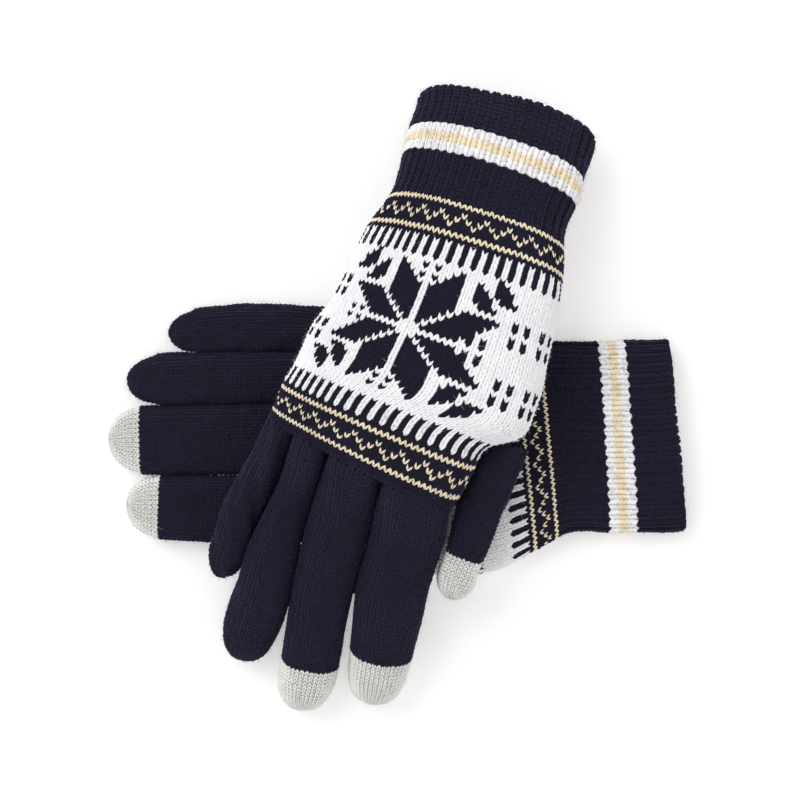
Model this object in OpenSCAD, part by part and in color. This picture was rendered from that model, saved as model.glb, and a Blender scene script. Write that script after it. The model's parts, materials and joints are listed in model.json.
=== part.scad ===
// A pair of knitted winter gloves lying crossed on a table. The left glove lies flat and
// empty with its palm up. The right glove is filled out and lies over it with its back up.
// Every node is a hollow fabric tube: rings of points swept along a line of stations.

/* [Fabric] */
// Thickness of the knitted fabric of hands and fingers
fabric = 1.8; // [1.2:0.1:2.2]
// Thickness of the double ribbed cuff
cuff_fabric = 2.6; // [1.8:0.1:3.2]
// Points round each tube
sides = 20; // [16:4:24]

/* [Right glove] */
// Turn of the right glove on the table, from straight away
right_turn = 158; // [150:1:165]
// How far the right hand leans towards its little finger
right_lean = 5; // [0:1:6]
// Length of the rounded end of the right fingers
right_dome = 10.5; // [9:0.5:12]
// Length of the rounded end of both thumbs
thumb_dome = 9; // [7:0.5:10]
// How far the right finger ends lift
right_lift = 35; // [20:1:35]

/* [Left glove] */
// Half thickness of the flat left hand
left_hand_half = 7.3; // [6:0.1:7.5]
// Half thickness of the flat left fingers
left_finger_half = 5.7; // [5:0.1:6]
// Length of the rounded end of the left fingers
left_dome = 11; // [8:0.5:13]
// How far the left finger ends curl over the palm
left_curl = 55; // [30:1:60]

/* [Joints] */
// How far the right thumb swings away from the hand
thumb_swing = 25; // [10:1:30]
// Clearance either side of every knuckle line
knuckle_gap = 0.3; // [0.2:0.05:0.6]
// Clearance between neighbouring fingers where they leave the hand
finger_gap = 0.2; // [0.1:0.05:0.4]

/* [Colours] */
// Main yarn
navy = "#1b1930"; // [#1b1930, #202020]
// Snowflake yarn
snow = "#f0f0f0"; // [#f0f0f0, #e0e0e0]
// Conductive yarn of the finger ends
grey = "#cdcfc8"; // [#cdcfc8, #b0b0b0]

/* [Hidden] */

// Both gloves are drawn in the same way: x towards the little finger, y towards the
// finger ends and z up. These move each finished glove to its place on the table.
right_place = [40, 98, 0];
left_place = [100, -14, 0];
// Moves the middle of the whole pair's box to the origin
box_shift = [-0.46, 1.05, -0.226];

// How square a section is: 1 is an ellipse, and smaller is squarer
hand_round = 0.84;
finger_round = 0.92;
flat_round = 0.7;
slice_round = 0.5;
// The least half height of a finger's root, and its middle height beside the hand's
least_half = 0.3;
root_flatness = 0.85;
// Where the rings of a rounded end lie, as angles from its start
dome_angles = [22, 45, 64, 80];
// Rings between a finger's root and its first station, and how far each is ahead of its place
root_rings = [0.35, 0.7];
root_lead = 0.15;
// How far the plain rings keep from a knuckle's sloping ring, in stations
before_knuckle = 0.25;
after_knuckle = 0.3;
// How much shorter the little fingers' rounded ends are
right_little_cut = 2;
left_little_cut = 1;
// Half the step, in stations, over which a line's heading is measured
heading_step = 0.05;

// Stations along a glove: [x, y, z, half width, half height, lean, turn of the section]
right_body = [
    [0.3, 0.5, 13.6, 32.8, 15.5, 0, -7.4],
    [-0.8, 9, 18.6, 32.3, 15.5, 0, -5.6],
    [-1.6, 20, 23.4, 32.2, 15.3, 0, -4.5],
    [-2.6, 34, 27.8, 31, 15.2, 0, -5],
    [-4, 48, 31, 35, 16.2, 0, -5.5],
    [-4.8, 63, 33, 37.2, 16.8, -right_lean * 0.3, -5],
    [-5.6, 78, 34, 39.2, 17, -right_lean * 0.6, -3],
    [-5.4, 91, 34.2, 41.4, 17, -right_lean * 0.8, -1],
    [-4.6, 101, 34, 41.6, 16.9, -right_lean, 0],
    [0.4, 109, 33.6, 37.2, 16.6, -right_lean, 0],
    [1.8, 118, 32.8, 36.8, 16.3, -right_lean, 1],
    [2.8, 131, 31, 35.8, 15.3, -right_lean, 4.4]
];
left_body = [
    [1, 0, 7, 34.9, 6.7, 0, -5.4],
    [0.2, 10, 7.1, 34.8, 6.8, 0, -4.5],
    [0.2, 24, 7.2, 34.6, 6.9, 0, -3.5],
    [0.2, 40, 7.3, 34.6, 7, 0, -5],
    [-2.2, 54, 7.4, 39.2, 7.1, 0, -6.5],
    [-4, 68, 7.6, 44, left_hand_half, 0, -5],
    [-3.4, 84, 7.6, 46, left_hand_half, 0, -1],
    [-0.6, 98, 7.6, 45.6, left_hand_half, 0, 4],
    [2.6, 108, 7.4, 43.6, 7.1, 0, 7],
    [4.4, 118, 7.2, 42.4, 6.9, 0, 6],
    [4.8, 127, 7, 42.2, 6.7, 0, 2.5]
];
// The station where the ribbing meets the patterned hand
cuff_end_station = 3.3;

// Where the hand divides into fingers: places across the hand, from the index edge
right_forks = [-35.8, -9.8, 11.2, 25.2, 35.8];
left_forks = [-42.2, -18.4, 7.2, 25.8, 42.2];

// Finger stations after the fork; the last is the middle of the rounded end
right_fingers = [
    [[-22, 150, 26.6, 12.6, 10.6], [-24.6, 171, 22.6, 12.4, 10.5],
     [-28.2, 187, 16.4, 11.2, 10.3], [-31, 200, 11.6, 10.2, 10]],
    [[2.2, 150, 26.2, 10.8, 10.2], [-0.5, 173, 22.6, 10.3, 10],
     [-4, 190, 17.2, 10.3, 9.9], [-8.3, 211.5, 11.2, 9.8, 9.7]],
    [[20.3, 150, 24.2, 6.4, 10], [19.6, 171, 22.2, 8.6, 9.8],
     [17.8, 187, 18, 10, 9.7], [16.9, 203, 11.6, 9.2, 9.2]],
    [[34.2, 150, 21.8, 6.5, 8.4], [35.7, 162, 21.2, 6.2, 8.2],
     [35.2, 171, 20.6, 6.2, 8], [34.4, 179, 19, 6.2, 7.6]]
];
left_fingers = [
    [[-25.4, 140, 6, 11.5, left_finger_half], [-25.6, 160, 6, 11.4, left_finger_half],
     [-25.4, 172, 6, 11.4, left_finger_half], [-25, 185, 6, 11, left_finger_half]],
    [[-0.4, 140, 6, 12.2, left_finger_half], [-0.6, 160, 6, 12.1, left_finger_half],
     [-0.8, 176, 6, 12, left_finger_half], [-1, 191.5, 6, 11.6, left_finger_half]],
    [[21.4, 140, 6, 8.9, left_finger_half], [21.3, 158, 6, 8.9, left_finger_half],
     [21.2, 172, 6, 8.9, left_finger_half], [20.6, 185, 6, 8.6, left_finger_half]],
    [[39.2, 140, 6, 8, left_finger_half], [39.2, 153, 6, 8, left_finger_half],
     [38.8, 162, 6, 7.9, left_finger_half], [38, 171, 6, 7.4, left_finger_half]]
];
// The station at the middle knuckle and at the grey yarn, on the whole finger's line
right_knuckles = [2, 2, 2, 2];
left_knuckles = [2.75, 2.3, 2, 2];
grey_start = [3.3, 3.6];
left_grey_start = [3.9, 3.95];

// Thumb stations: root, fork, middle knuckle, then the middle of the rounded end
right_thumb = [[-42.8, 105.2, 29.4, 7, 7.2], [-42.2, 118, 28, 8, 7.8], [-42, 129, 26.6, 8.2, 8],
               [-43, 144, 24.8, 7.2, 7.8], [-43.4, 155, 23.4, 7, 7.6]];
left_thumb = [[-48, 104.5, 5, 8.4, 4.7], [-48, 122, 5, 8.4, 4.7], [-47.8, 130, 5, 8.3, 4.7],
              [-47.6, 136, 5, 8, 4.6]];
thumb_knuckle = 2;
thumb_grey = 3.3;
// Plain rings between the thumb's knuckle and its grey yarn
thumb_rings = [2.3, 2.8, thumb_grey];
left_thumb_grey = 2.2;
// How far forward the thumb's root slopes for each millimetre across it
right_mitre = 0.8;
left_mitre = 1.9;

// --- Lines and rings ---------------------------------------------------------------

function unit(p) = p / norm(p);

// The point t stations along a smooth line through a list of stations
function along(list, t) =
    let (last = len(list) - 1, i = max(0, min(floor(t), last - 1)), f = t - i)
    let (a = list[max(i - 1, 0)], b = list[i], c = list[i + 1], d = list[min(i + 2, last)])
    0.5 * (2 * b + f * (c - a) + f * f * (2 * a - 5 * b + 4 * c - d)
    + f * f * f * (3 * b - a - 3 * c + d));

function middle(list, t) = let (p = along(list, t)) [p[0], p[1], p[2]];

// The way a section faces: along the line, or turned as a hand's own stations say
function heading(list, t) =
    let (last = len(list) - 1)
    let (way = middle(list, min(t + heading_step, last)) - middle(list, max(t - heading_step, 0)))
    len(list[0]) < 7 ? unit(way) :
    let (flat = norm([way[0], way[1]]), q = along(list, t)[6])
    unit([flat * sin(q), flat * cos(q), way[2]]);

// The across and up directions of a section that faces along t
function cross_axes(t, lean) =
    let (s = unit([t[1], -t[0], 0]), n = cross(s, t))
    [s * cos(lean) + n * sin(lean), n * cos(lean) - s * sin(lean)];

function swell(c, power) = sign(c) * pow(abs(c), power);

// One ring of points. cut is [gap, slope across, slope up, mitre]: how far the ring
// is pushed along its heading, so that a knuckle has room to fold.
function ring(c, t, a, b, lean, power, cut = [0, 0, 0, 0]) =
    let (axes = cross_axes(t, lean))
    [for (i = [0 : sides - 1])
        let (q = i * 360 / sides, x = a * swell(cos(q), power), y = b * swell(sin(q), power))
        c + axes[0] * x + axes[1] * y
        + t * (cut[0] + cut[1] * max(0, -x) + cut[2] * max(0, y) + cut[3] * x)];

// The ring at one station of a line, drawn in by the wall thickness
function station_ring(list, t, inset, power, cut = [0, 0, 0, 0]) =
    let (p = along(list, t), lean = len(p) > 5 ? p[5] : 0)
    ring(middle(list, t), heading(list, t), p[3] - inset, p[4] - inset, lean, power, cut);

// The part of the hand's last section between two forks
function slice_ring(body, x0, x1, inset) =
    let (end = len(body) - 1, p = body[end], t = heading(body, end), axes = cross_axes(t, p[5]))
    let (mid = (x0 + x1) / 2, w = (x1 - x0) / 2 - finger_gap - inset, n = 2 / hand_round)
    [for (i = [0 : sides - 1])
        let (q = i * 360 / sides, x = mid + w * swell(cos(q), slice_round),
             h = p[4] * pow(max(0, 1 - pow(abs(x) / p[3], n)), 1 / n),
             y = max(least_half, h - inset) * swell(sin(q), slice_round))
        [p[0], p[1], p[2]] + axes[0] * x + axes[1] * y];

// A finger's whole line: the middle of its slice, then its own stations
function finger_line(body, x0, x1, stations) =
    let (end = len(body) - 1, p = body[end], axes = cross_axes(heading(body, end), p[5]))
    let (c = [p[0], p[1], p[2]] + axes[0] * (x0 + x1) / 2)
    concat([[c[0], c[1], c[2], (x1 - x0) / 2, p[4] * root_flatness]], stations);

// Rings of the rounded end, from the line's last station onward
function dome_rings(list, inset, dome, power) =
    let (last = len(list) - 1, p = list[last], t = heading(list, last))
    [for (q = dome_angles)
        ring(middle(list, last) + t * (dome - inset) * sin(q), t,
             (p[3] - inset) * cos(q), (p[4] - inset) * cos(q), 0, power)];

function blend_rings(r0, r1, f) = [for (i = [0 : sides - 1]) r0[i] * (1 - f) + r1[i] * f];

function shift_ring(r, d) = [for (p = r) p + d];

function ring_middle(r) = [for (k = [0 : 2]) [for (p = r) p[k]] * [for (p = r) 1 / len(r)]];

// --- Solids ------------------------------------------------------------------------

// A wall between two lists of rings. A closed end gets a point in the middle of its last ring.
module shell(outer, inner, closed = false) {
    rows = len(outer);
    lift = rows * sides;
    points = concat(
        [for (r = outer) each r], [for (r = inner) each r],
        closed ? [ring_middle(outer[rows - 1]), ring_middle(inner[rows - 1])] : []
    );
    skins = [for (k = [0 : rows - 2], i = [0 : sides - 1])
        let (j = (i + 1) % sides, a = k * sides + i, b = k * sides + j, c = b + sides, d = a + sides)
        each [[a, b, c], [a, c, d], [a + lift, c + lift, b + lift], [a + lift, d + lift, c + lift]]];
    start_rim = [for (i = [0 : sides - 1])
        let (j = (i + 1) % sides)
        each [[i, i + lift, j + lift], [i, j + lift, j]]];
    top = (rows - 1) * sides;
    end_rim = [for (i = [0 : sides - 1])
        let (j = (i + 1) % sides, a = top + i, b = top + j)
        each closed
            ? [[a, b, 2 * lift], [a + lift, 2 * lift + 1, b + lift]]
            : [[a, b + lift, a + lift], [a, b, b + lift]]];
    polyhedron(points, concat(skins, start_rim, end_rim));
}

// A stretch of a line between two stations, as a tube
module tube(list, from, to, rows, wall, power) {
    outer = [for (k = [0 : rows]) station_ring(list, from + (to - from) * k / rows, 0, power)];
    inner = [for (k = [0 : rows]) station_ring(list, from + (to - from) * k / rows, wall, power)];
    shell(outer, inner);
}

// From the fork to the middle knuckle
module finger_base(body, forks, stations, index, knuckle, fold, power) {
    x0 = forks[index];
    x1 = forks[index + 1];
    line = finger_line(body, x0, x1, stations[index]);
    stop = knuckle - before_knuckle;
    rings = [for (inset = [0, fabric])
        let (slice = slice_ring(body, x0, x1, inset))
        concat(
            [slice],
            [for (t = root_rings)
                blend_rings(shift_ring(slice, middle(line, t) - middle(line, 0)),
                            station_ring(line, t, inset, power), t + root_lead)],
            [for (k = [0 : 2]) station_ring(line, 1 + (stop - 1) * k / 2, inset, power)],
            [station_ring(line, knuckle, inset, power, [-knuckle_gap, 0, -tan(fold / 2), 0])]
        )];
    shell(rings[0], rings[1]);
}

// From the middle knuckle to the rounded end, or to the grey yarn
module finger_end(body, forks, stations, index, knuckle, fold, power, dome, grey_at = 0) {
    line = finger_line(body, forks[index], forks[index + 1], stations[index]);
    last = len(line) - 1;
    start = knuckle + after_knuckle;
    stop = grey_at > 0 ? grey_at : last;
    rings = [for (inset = [0, fabric])
        concat(
            [station_ring(line, knuckle, inset, power, [knuckle_gap, 0, tan(fold / 2), 0])],
            [for (k = [0 : 3])
                station_ring(line, start + (stop - start) * k / 3, inset, power)],
            grey_at > 0 ? [] : dome_rings(line, inset, dome, power)
        )];
    shell(rings[0], rings[1], closed = grey_at == 0);
}

// The rounded end in grey conductive yarn
module finger_tip(line, grey_at, dome, power) {
    last = len(line) - 1;
    rings = [for (inset = [0, fabric])
        concat(
            [for (t = [grey_at, last]) station_ring(line, t, inset, power)],
            dome_rings(line, inset, dome, power)
        )];
    shell(rings[0], rings[1], closed = true);
}

// From the sloping root beside the hand to the thumb's middle knuckle
module thumb_base(line, fold, power) {
    rings = [for (inset = [0, fabric]) [
        station_ring(line, 0, inset, power, [0, 0, 0, right_mitre]),
        station_ring(line, 1, inset, power),
        station_ring(line, thumb_knuckle, inset, power, [-knuckle_gap, -tan(fold / 2), 0, 0])
    ]];
    shell(rings[0], rings[1]);
}

module thumb_end(line, fold, power) {
    rings = [for (inset = [0, fabric])
        concat(
            [station_ring(line, thumb_knuckle, inset, power, [knuckle_gap, tan(fold / 2), 0, 0])],
            [for (t = thumb_rings) station_ring(line, t, inset, power)]
        )];
    shell(rings[0], rings[1]);
}

module place_right() {
    translate(box_shift + right_place) rotate([0, 0, right_turn]) children();
}

module place_left() {
    translate(box_shift + left_place) rotate([0, 0, 90]) children();
}

module right_finger_base(index) {
    place_right()
        finger_base(right_body, right_forks, right_fingers, index, right_knuckles[index],
                    right_lift, finger_round);
}

module right_finger_end(index, grey_at = 0) {
    place_right()
        finger_end(right_body, right_forks, right_fingers, index, right_knuckles[index],
                   right_lift, finger_round, right_dome - (index == 3 ? right_little_cut : 0), grey_at);
}

module right_finger_tip(index) {
    place_right()
        finger_tip(finger_line(right_body, right_forks[index], right_forks[index + 1],
                               right_fingers[index]), grey_start[index], right_dome, finger_round);
}

module left_finger_base(index) {
    place_left()
        finger_base(left_body, left_forks, left_fingers, index, left_knuckles[index],
                    left_curl, flat_round);
}

module left_finger_end(index, grey_at = 0) {
    place_left()
        finger_end(left_body, left_forks, left_fingers, index, left_knuckles[index],
                   left_curl, flat_round, left_dome - (index == 3 ? left_little_cut : 0), grey_at);
}

module left_finger_tip(index) {
    place_left()
        finger_tip(finger_line(left_body, left_forks[index], left_forks[index + 1],
                               left_fingers[index]), left_grey_start[index], left_dome, flat_round);
}

// --- Left glove --------------------------------------------------------------------

module left_cuff() {
    color(navy) place_left() tube(left_body, 0, cuff_end_station, 5, cuff_fabric, flat_round);
}

module left_hand() {
    color(snow) place_left()
        tube(left_body, cuff_end_station, len(left_body) - 1, 8, fabric, flat_round);
}

module left_thumb() {
    rings = [for (inset = [0, fabric])
        concat(
            [station_ring(left_thumb, 0, inset, flat_round, [0, 0, 0, left_mitre])],
            [for (t = [1, left_thumb_grey]) station_ring(left_thumb, t, inset, flat_round)]
        )];
    color(navy) place_left() shell(rings[0], rings[1]);
}

module left_thumb_tip() {
    color(grey) place_left() finger_tip(left_thumb, left_thumb_grey, thumb_dome, flat_round);
}

module left_index_base() {
    color(navy) left_finger_base(0);
}

module left_index_end() {
    color(navy) left_finger_end(0, left_grey_start[0]);
}

module left_index_tip() {
    color(grey) left_finger_tip(0);
}

module left_middle_base() {
    color(navy) left_finger_base(1);
}

module left_middle_end() {
    color(navy) left_finger_end(1, left_grey_start[1]);
}

module left_middle_tip() {
    color(grey) left_finger_tip(1);
}

module left_ring_base() {
    color(navy) left_finger_base(2);
}

module left_ring_end() {
    color(navy) left_finger_end(2);
}

module left_little_base() {
    color(navy) left_finger_base(3);
}

module left_little_end() {
    color(navy) left_finger_end(3);
}

// --- Right glove -------------------------------------------------------------------

module right_cuff() {
    color(navy) place_right() tube(right_body, 0, cuff_end_station, 6, cuff_fabric, hand_round);
}

module right_hand() {
    color(snow) place_right()
        tube(right_body, cuff_end_station, len(right_body) - 1, 10, fabric, hand_round);
}

module right_thumb_base() {
    color(navy) place_right() thumb_base(right_thumb, thumb_swing, finger_round);
}

module right_thumb_end() {
    color(navy) place_right() thumb_end(right_thumb, thumb_swing, finger_round);
}

module right_thumb_tip() {
    color(grey) place_right() finger_tip(right_thumb, thumb_grey, thumb_dome, finger_round);
}

module right_index_base() {
    color(navy) right_finger_base(0);
}

module right_index_end() {
    color(navy) right_finger_end(0, grey_start[0]);
}

module right_index_tip() {
    color(grey) right_finger_tip(0);
}

module right_middle_base() {
    color(navy) right_finger_base(1);
}

module right_middle_end() {
    color(navy) right_finger_end(1, grey_start[1]);
}

module right_middle_tip() {
    color(grey) right_finger_tip(1);
}

module right_ring_base() {
    color(navy) right_finger_base(2);
}

module right_ring_end() {
    color(navy) right_finger_end(2);
}

module right_little_base() {
    color(navy) right_finger_base(3);
}

module right_little_end() {
    color(navy) right_finger_end(3);
}

left_cuff();
left_hand();
left_thumb();
left_thumb_tip();
left_index_base();
left_index_end();
left_index_tip();
left_middle_base();
left_middle_end();
left_middle_tip();
left_ring_base();
left_ring_end();
left_little_base();
left_little_end();
right_cuff();
right_hand();
right_thumb_base();
right_thumb_end();
right_thumb_tip();
right_index_base();
right_index_end();
right_index_tip();
right_middle_base();
right_middle_end();
right_middle_tip();
right_ring_base();
right_ring_end();
right_little_base();
right_little_end();
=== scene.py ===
# %% [markdown]
# # A pair of knitted winter gloves
# Two gloves lie crossed on a pale table. The left one is flat and empty with its palm up. The right
# one is filled out and lies over it with its back up. A knitted fabric is nothing but loops of yarn,
# so the lesson builds it that way: one stitch is modelled, repeated into a flat panel, sorted by
# yarn colour after a knitting chart, and then rolled round the tube that each part of a glove is.
#
# ## The frame
# The imported model gives the bodies, the joints and the box that the gloves have to stay in. Its own
# shells are smooth, so every one of them is replaced by a knitted piece; the cuffs, hands, grey ends and
# left thumb ride on the same body.

# %% Load the frame
import json
import math

import bmesh
import bpy
import numpy as np
from mathutils import Matrix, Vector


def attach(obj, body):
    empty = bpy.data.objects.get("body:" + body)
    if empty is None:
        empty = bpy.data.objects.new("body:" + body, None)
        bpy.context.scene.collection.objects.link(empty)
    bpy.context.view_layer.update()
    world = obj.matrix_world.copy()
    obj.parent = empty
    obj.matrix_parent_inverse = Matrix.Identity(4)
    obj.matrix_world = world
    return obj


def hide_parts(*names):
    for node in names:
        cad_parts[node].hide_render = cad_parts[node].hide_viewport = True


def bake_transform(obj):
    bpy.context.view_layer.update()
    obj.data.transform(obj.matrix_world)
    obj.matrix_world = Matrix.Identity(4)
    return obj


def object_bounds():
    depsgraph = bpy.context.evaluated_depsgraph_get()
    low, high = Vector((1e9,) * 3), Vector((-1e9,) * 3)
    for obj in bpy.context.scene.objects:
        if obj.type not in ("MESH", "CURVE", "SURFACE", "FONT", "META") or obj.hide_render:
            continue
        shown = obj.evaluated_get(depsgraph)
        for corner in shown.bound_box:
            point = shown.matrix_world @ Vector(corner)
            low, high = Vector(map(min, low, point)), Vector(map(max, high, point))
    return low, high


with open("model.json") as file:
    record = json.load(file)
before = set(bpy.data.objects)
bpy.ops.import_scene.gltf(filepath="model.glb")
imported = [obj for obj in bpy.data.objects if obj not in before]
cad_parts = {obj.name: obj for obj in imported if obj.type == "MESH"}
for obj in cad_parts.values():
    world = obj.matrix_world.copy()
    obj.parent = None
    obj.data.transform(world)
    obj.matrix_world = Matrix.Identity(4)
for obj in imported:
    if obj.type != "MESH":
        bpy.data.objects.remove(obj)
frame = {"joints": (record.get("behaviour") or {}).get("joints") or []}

cad_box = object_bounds()
joints = {joint["name"]: joint for joint in frame["joints"]}
MM = 0.001
TINY = 1e-6
print("CAD box", [round(c, 4) for corner in cad_box for c in corner])

# %% [markdown]
# ## Table, light and camera
# The gloves are seen from straight above under broad, soft studio light, on a nearly white table.
# A large lamp to one side gives the ribs and stitches their shading, and an even white
# surrounding keeps the shadows pale. A point or sun lamp would give hard shadows between stitches.

# %% Camera straight above the table
CAMERA_HEIGHT = 0.8
CAMERA_OFFSET = (0.0016, 0.0004)
VIEW_ANGLE = 20.52
camera = bpy.data.objects.new("camera", bpy.data.cameras.new("camera"))
camera.location = (*CAMERA_OFFSET, CAMERA_HEIGHT)
camera.data.angle = math.radians(VIEW_ANGLE)
bpy.context.scene.collection.objects.link(camera)
bpy.context.scene.camera = camera
bpy.context.scene.view_settings.view_transform = "Standard"
seen = 2 * CAMERA_HEIGHT * math.tan(camera.data.angle / 2)
print("camera", CAMERA_HEIGHT, "m up, sees", round(seen, 3), "m")

# %% Soft lamp and white surroundings
LAMP_PLACE, LAMP_SIZE, LAMP_POWER = (-0.75, 0.7, 1.3), 0.9, 10
STUDIO_COLOUR, STUDIO_STRENGTH = (1, 0.992, 0.992, 1), 0.9

lamp = bpy.data.objects.new("key_lamp", bpy.data.lights.new("key_lamp", "AREA"))
lamp.data.size = LAMP_SIZE
lamp.data.energy = LAMP_POWER
lamp.location = LAMP_PLACE
lamp.rotation_mode = "QUATERNION"
lamp.rotation_quaternion = lamp.location.to_track_quat("Z", "Y")
bpy.context.scene.collection.objects.link(lamp)
world = bpy.data.worlds.new("studio")
world.use_nodes = True
background = world.node_tree.nodes["Background"]
background.inputs["Color"].default_value = STUDIO_COLOUR
background.inputs["Strength"].default_value = STUDIO_STRENGTH
bpy.context.scene.world = world
print("lamp", lamp.name, "in a world called", world.name)

# %% [markdown]
# ## The shape of each tube
# A glove is drawn along a line of stations. Each station gives a place on the line and the half
# width and half height of the section there. A smooth curve runs through them. These are the same
# stations that the CAD shells use, in millimetres, with x towards the little finger, y towards the
# finger ends and z up, and each finished glove is then turned to its place on the table. A hand's
# stations also say how its section leans and turns, because a real hand isn't a straight tube.

# %% Stations of the two hands: x, y, z, half width, half height, lean and turn in degrees
RIGHT_BODY = [
    (0.3, 0.5, 13.6, 32.8, 15.5, 0, -7.4), (-0.8, 9, 18.6, 32.3, 15.5, 0, -5.6),
    (-1.6, 20, 23.4, 32.2, 15.3, 0, -4.5), (-2.6, 34, 27.8, 31, 15.2, 0, -5),
    (-4, 48, 31, 35, 16.2, 0, -5.5), (-4.8, 63, 33, 37.2, 16.8, -1.5, -5),
    (-5.6, 78, 34, 39.2, 17, -3, -3), (-5.4, 91, 34.2, 41.4, 17, -4, -1),
    (-4.6, 101, 34, 41.6, 16.9, -5, 0), (0.4, 109, 33.6, 37.2, 16.6, -5, 0),
    (1.8, 118, 32.8, 36.8, 16.3, -5, 1), (2.8, 131, 31, 35.8, 15.3, -5, 4.4),
]
LEFT_BODY = [
    (1, 0, 7, 34.9, 6.7, 0, -5.4), (0.2, 10, 7.1, 34.8, 6.8, 0, -4.5), (0.2, 24, 7.2, 34.6, 6.9, 0, -3.5),
    (0.2, 40, 7.3, 34.6, 7, 0, -5), (-2.2, 54, 7.4, 39.2, 7.1, 0, -6.5), (-4, 68, 7.6, 44, 7.3, 0, -5),
    (-3.4, 84, 7.6, 46, 7.3, 0, -1), (-0.6, 98, 7.6, 45.6, 7.3, 0, 4), (2.6, 108, 7.4, 43.6, 7.1, 0, 7),
    (4.4, 118, 7.2, 42.4, 6.9, 0, 6), (4.8, 127, 7, 42.2, 6.7, 0, 2.5),
]
# Where the hand divides into fingers, measured across it from the index edge
RIGHT_FORKS = (-35.8, -9.8, 11.2, 25.2, 35.8)
LEFT_FORKS = (-42.2, -18.4, 7.2, 25.8, 42.2)
CUFF_END = 3.3
print(len(RIGHT_BODY), "and", len(LEFT_BODY), "stations")

# %% Stations of the fingers and thumbs
FINGER_NAMES = ("index", "middle", "ring", "little")
RIGHT_FINGERS = (
    [(-22, 150, 26.6, 12.6, 10.6), (-24.6, 171, 22.6, 12.4, 10.5), (-28.2, 187, 16.4, 11.2, 10.3),
     (-31, 200, 11.6, 10.2, 10)],
    [(2.2, 150, 26.2, 10.8, 10.2), (-0.5, 173, 22.6, 10.3, 10), (-4, 190, 17.2, 10.3, 9.9),
     (-8.3, 211.5, 11.2, 9.8, 9.7)],
    [(20.3, 150, 24.2, 6.4, 10), (19.6, 171, 22.2, 8.6, 9.8), (17.8, 187, 18, 10, 9.7),
     (16.9, 203, 11.6, 9.2, 9.2)],
    [(34.2, 150, 21.8, 6.5, 8.4), (35.7, 162, 21.2, 6.2, 8.2), (35.2, 171, 20.6, 6.2, 8),
     (34.4, 179, 19, 6.2, 7.6)],
)
LEFT_FINGERS = (
    [(-25.4, 140, 6, 11.5, 5.7), (-25.6, 160, 6, 11.4, 5.7), (-25.4, 172, 6, 11.4, 5.7),
     (-25, 185, 6, 11, 5.7)],
    [(-0.4, 140, 6, 12.2, 5.7), (-0.6, 160, 6, 12.1, 5.7), (-0.8, 176, 6, 12, 5.7),
     (-1, 191.5, 6, 11.6, 5.7)],
    [(21.4, 140, 6, 8.9, 5.7), (21.3, 158, 6, 8.9, 5.7), (21.2, 172, 6, 8.9, 5.7),
     (20.6, 185, 6, 8.6, 5.7)],
    [(39.2, 140, 6, 8, 5.7), (39.2, 153, 6, 8, 5.7), (38.8, 162, 6, 7.9, 5.7),
     (38, 171, 6, 7.4, 5.7)],
)
RIGHT_THUMB = [(-42.8, 105.2, 29.4, 7, 7.2), (-42.2, 118, 28, 8, 7.8), (-42, 129, 26.6, 8.2, 8),
               (-43, 144, 24.8, 7.2, 7.8), (-43.4, 155, 23.4, 7, 7.6)]
LEFT_THUMB = [(-48, 104.5, 5, 8.4, 4.7), (-48, 122, 5, 8.4, 4.7), (-47.8, 130, 5, 8.3, 4.7),
              (-47.6, 136, 5, 8, 4.6)]
print(sum(len(f) for f in RIGHT_FINGERS + LEFT_FINGERS), "finger stations")

# %% [markdown]
# ## What differs between the two gloves
# Both gloves come from the same pattern, so the same code makes both and one table holds what
# differs. A power below one makes a section squarer. Domes are the lengths of the round ends, and
# grey says at which station of the finger the grey yarn starts. The chart's turn, in stitches, brings
# the star to the back. Plump is what a finger's knitting adds to its shell, wrinkle is the height of
# the slow waves in the fabric, and squeeze draws the wales together where a rounded hand curves away.

# %% The table of the two gloves
BOX_SHIFT = (-0.46, 1.05, -0.226)
GLOVES = {
    "right": {
        "place": (40, 98, 0), "turn": 158, "body": RIGHT_BODY, "forks": RIGHT_FORKS,
        "fingers": RIGHT_FINGERS, "thumb": RIGHT_THUMB, "hand_power": 0.84, "finger_power": 0.92,
        "dome": (10.5, 10.5, 10.5, 8.5), "thumb_dome": 9, "grey": (3.3, 3.6), "thumb_grey": 3.3,
        "chart_turn": 4.2, "cuff_rows": (11, 2, 2, 2), "wrinkle": 0.45, "plump": 0.35, "squeeze": 0.042,
    },
    "left": {
        "place": (100, -14, 0), "turn": 90, "body": LEFT_BODY, "forks": LEFT_FORKS,
        "fingers": LEFT_FINGERS, "thumb": LEFT_THUMB, "hand_power": 0.7, "finger_power": 0.7,
        "dome": (11, 11, 11, 10), "thumb_dome": 9, "grey": (3.9, 3.95), "thumb_grey": 2.2,
        "chart_turn": 40, "cuff_rows": (11, 2, 2, 2), "wrinkle": 0.3, "plump": 0.75, "squeeze": 0,
    },
}
ROUND = 240
TURNS = np.pi / 2 - np.linspace(0, 2 * np.pi, ROUND, endpoint=False)
print("gloves", list(GLOVES))

# %% [markdown]
# ## Sections along a line
# The curve is a Catmull-Rom spline, which passes through every station. A section is a rounded
# rectangle: an ellipse whose sine and cosine are raised to a power below one. Each ring is then
# respaced so that its points are equally far apart, because stitches have equal width however the
# fabric bends.


# %% Spline, heading and rings
def along_line(stations, t):
    """The station values at t on a smooth line through the stations."""
    table = np.asarray(stations, float)
    last = len(table) - 1
    t = min(max(t, 0), last)
    i = min(int(t), last - 1)
    f = t - i
    a, b, c, d = table[max(i - 1, 0)], table[i], table[i + 1], table[min(i + 2, last)]
    cubic = 3 * b - a - 3 * c + d
    return 0.5 * (2 * b + f * (c - a) + f * f * (2 * a - 5 * b + 4 * c - d) + f**3 * cubic)


def is_hand(stations):
    """Only a hand's stations have a lean and a turn after their first five values."""
    return len(stations[0]) > 5


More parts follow.
